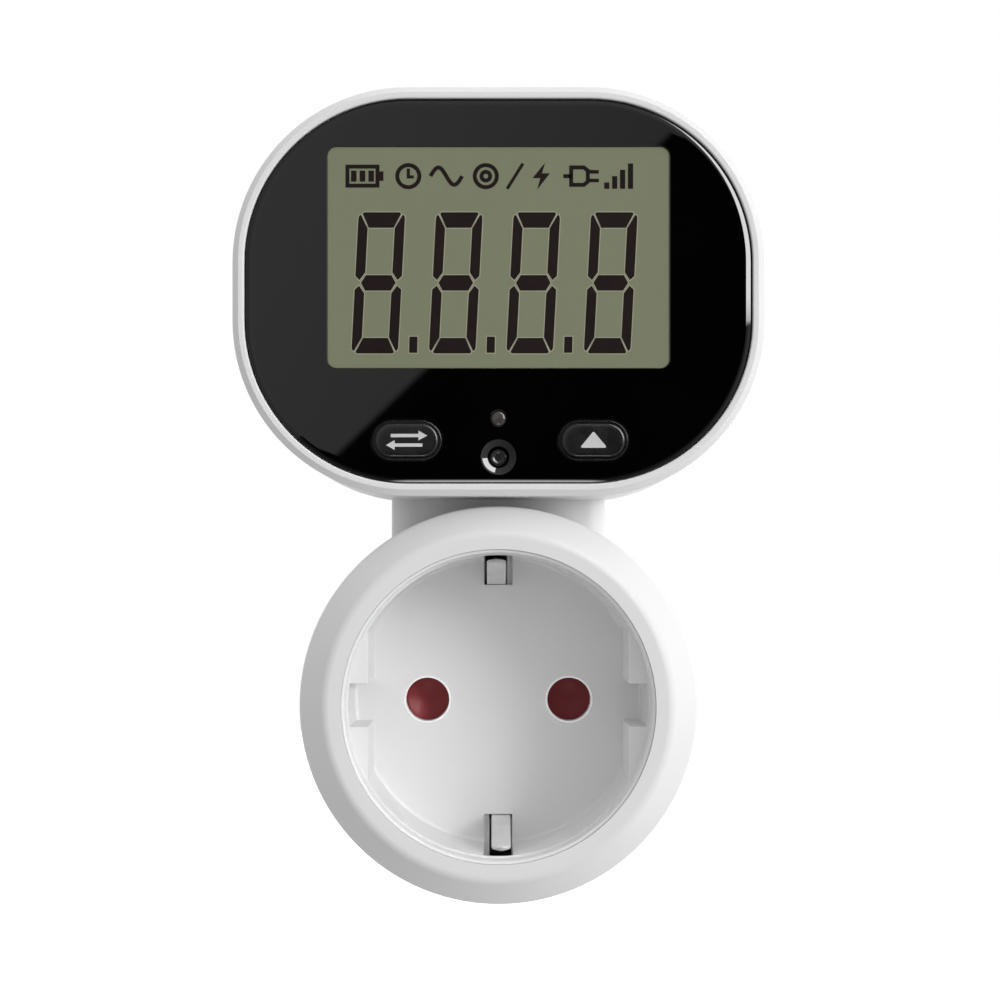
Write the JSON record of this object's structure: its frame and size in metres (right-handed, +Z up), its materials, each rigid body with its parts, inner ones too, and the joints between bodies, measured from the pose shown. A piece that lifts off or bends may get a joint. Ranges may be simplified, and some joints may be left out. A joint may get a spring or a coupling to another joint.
{
  "type": "plug in power meter",
  "caption": "Plug-in energy meter: an oval display head with push keys on a short stem above a round shuttered earthed socket, with a pin plug on its back.",
  "frame": {"origin": "centre of the plug's end face, halfway between the two pins", "axes": "+Y along the plug pins into the wall socket, +Z up towards the display head, +X to the right seen from the front"},
  "size_m": [0.068, 0.0787, 0.1043],
  "materials": {
    "shell_white": "satin white moulding",
    "insert_white": "matte white moulding",
    "panel_black": "polished black",
    "lcd_film": "matte grey-green film",
    "lcd_glass": "clear",
    "reflector": "satin reflecting film",
    "frame_plastic": "black moulding",
    "connector_rubber": "layered rubber strip",
    "board_green": "glass-fibre board with green mask",
    "chip_black": "black epoxy",
    "plated_steel": "nickel plated",
    "plated_brass": "tinned strip",
    "switch_plastic": "black moulding",
    "key_rubber": "dark grey, softly rounded",
    "plunger_plastic": "tan moulding",
    "led_clear": "clear resin",
    "pipe_clear": "clear moulding",
    "cable_grey": "flat cable",
    "capacitor_yellow": "moulded case",
    "capacitor_sleeve": "shrunk sleeve",
    "varistor_blue": "dipped coating",
    "resistor_body": "cement coating",
    "wire_red": "insulated wire",
    "shunt_alloy": "resistance alloy strip",
    "contact_brass": "spring brass strip",
    "carrier_plastic": "ivory moulding",
    "pin_nickel": "nickel plated brass",
    "earth_steel": "tinned spring strip",
    "shutter_red": "dark red moulding",
    "spring_steel": "spring wire",
    "screw_steel": "zinc plated"
  },
  "bodies": {
    "meter": {"front_shell": "shell_white", "rear_shell": "shell_white", "face_panel": "panel_black", "socket_insert": "insert_white", "lcd_front_film": "lcd_film", "display_window": "lcd_glass", "lcd_front_glass": "lcd_glass", "lcd_rear_glass": "lcd_glass", "lcd_rear_film": "reflector", "lcd_frame": "frame_plastic", "rubber_connector": "connector_rubber", "display_board": "board_green", "controller_blob": "chip_black", "clock_crystal": "plated_steel", "backup_cell": "plated_steel", "cell_tabs": "plated_brass", "key_switches": "switch_plastic", "reset_switch": "switch_plastic", "status_led": "led_clear", "light_pipe": "pipe_clear", "ribbon_cable": "cable_grey", "power_board": "board_green", "mains_capacitor": "capacitor_yellow", "smoothing_capacitor": "capacitor_sleeve", "varistor": "varistor_blue", "fusible_resistor": "resistor_body", "metering_chip": "chip_black", "supply_leads": "wire_red", "shunt": "shunt_alloy", "live_contact": "contact_brass", "neutral_contact": "contact_brass", "line_pin_strap": "contact_brass", "contact_carrier": "carrier_plastic", "line_pin": "pin_nickel", "neutral_pin": "pin_nickel", "pin_carrier": "carrier_plastic", "earth_bar": "earth_steel", "shutter_spring": "spring_steel", "shutter_screw": "screw_steel", "shutter_washer": "screw_steel", "head_screws": "screw_steel", "collar_screws": "screw_steel", "board_screws": "screw_steel", "power_board_screws": "screw_steel", "carrier_screws": "screw_steel"},
    "mode_button": {"mode_key": "key_rubber", "mode_plunger": "plunger_plastic"},
    "up_button": {"up_key": "key_rubber", "up_plunger": "plunger_plastic"},
    "reset_button": {"reset_key": "key_rubber", "reset_plunger": "plunger_plastic"},
    "shutter": {"shutter": "shutter_red"},
    "upper_earth_clip": {"upper_earth_clip": "earth_steel"},
    "lower_earth_clip": {"lower_earth_clip": "earth_steel"}
  },
  "joints": [
    {"name": "mode_press", "type": "slide", "parent": "meter", "child": "mode_button", "axis": [0, 1, 0], "range_m": [0, 0.0006], "stiffness_N_per_m": 900},
    {"name": "up_press", "type": "slide", "parent": "meter", "child": "up_button", "axis": [0, 1, 0], "range_m": [0, 0.0006], "stiffness_N_per_m": 900},
    {"name": "reset_press", "type": "slide", "parent": "meter", "child": "reset_button", "axis": [0, 1, 0], "range_m": [0, 0.0006], "stiffness_N_per_m": 900},
    {"name": "shutter_turn", "type": "hinge", "parent": "meter", "child": "shutter", "pos_m": [0, -0.0388, 0], "axis": [0, 1, 0], "range_deg": [0, 42], "stiffness_Nm_per_rad": 0.004, "deforming": ["shutter_spring"]},
    {"name": "upper_clip_flex", "type": "hinge", "parent": "meter", "child": "upper_earth_clip", "pos_m": [0, -0.033, 0.01705], "axis": [-1, 0, 0], "range_deg": [0, 6], "stiffness_Nm_per_rad": 0.4},
    {"name": "lower_clip_flex", "type": "hinge", "parent": "meter", "child": "lower_earth_clip", "pos_m": [0, -0.033, -0.01705], "axis": [1, 0, 0], "range_deg": [0, 6], "stiffness_Nm_per_rad": 0.4}
  ]
}
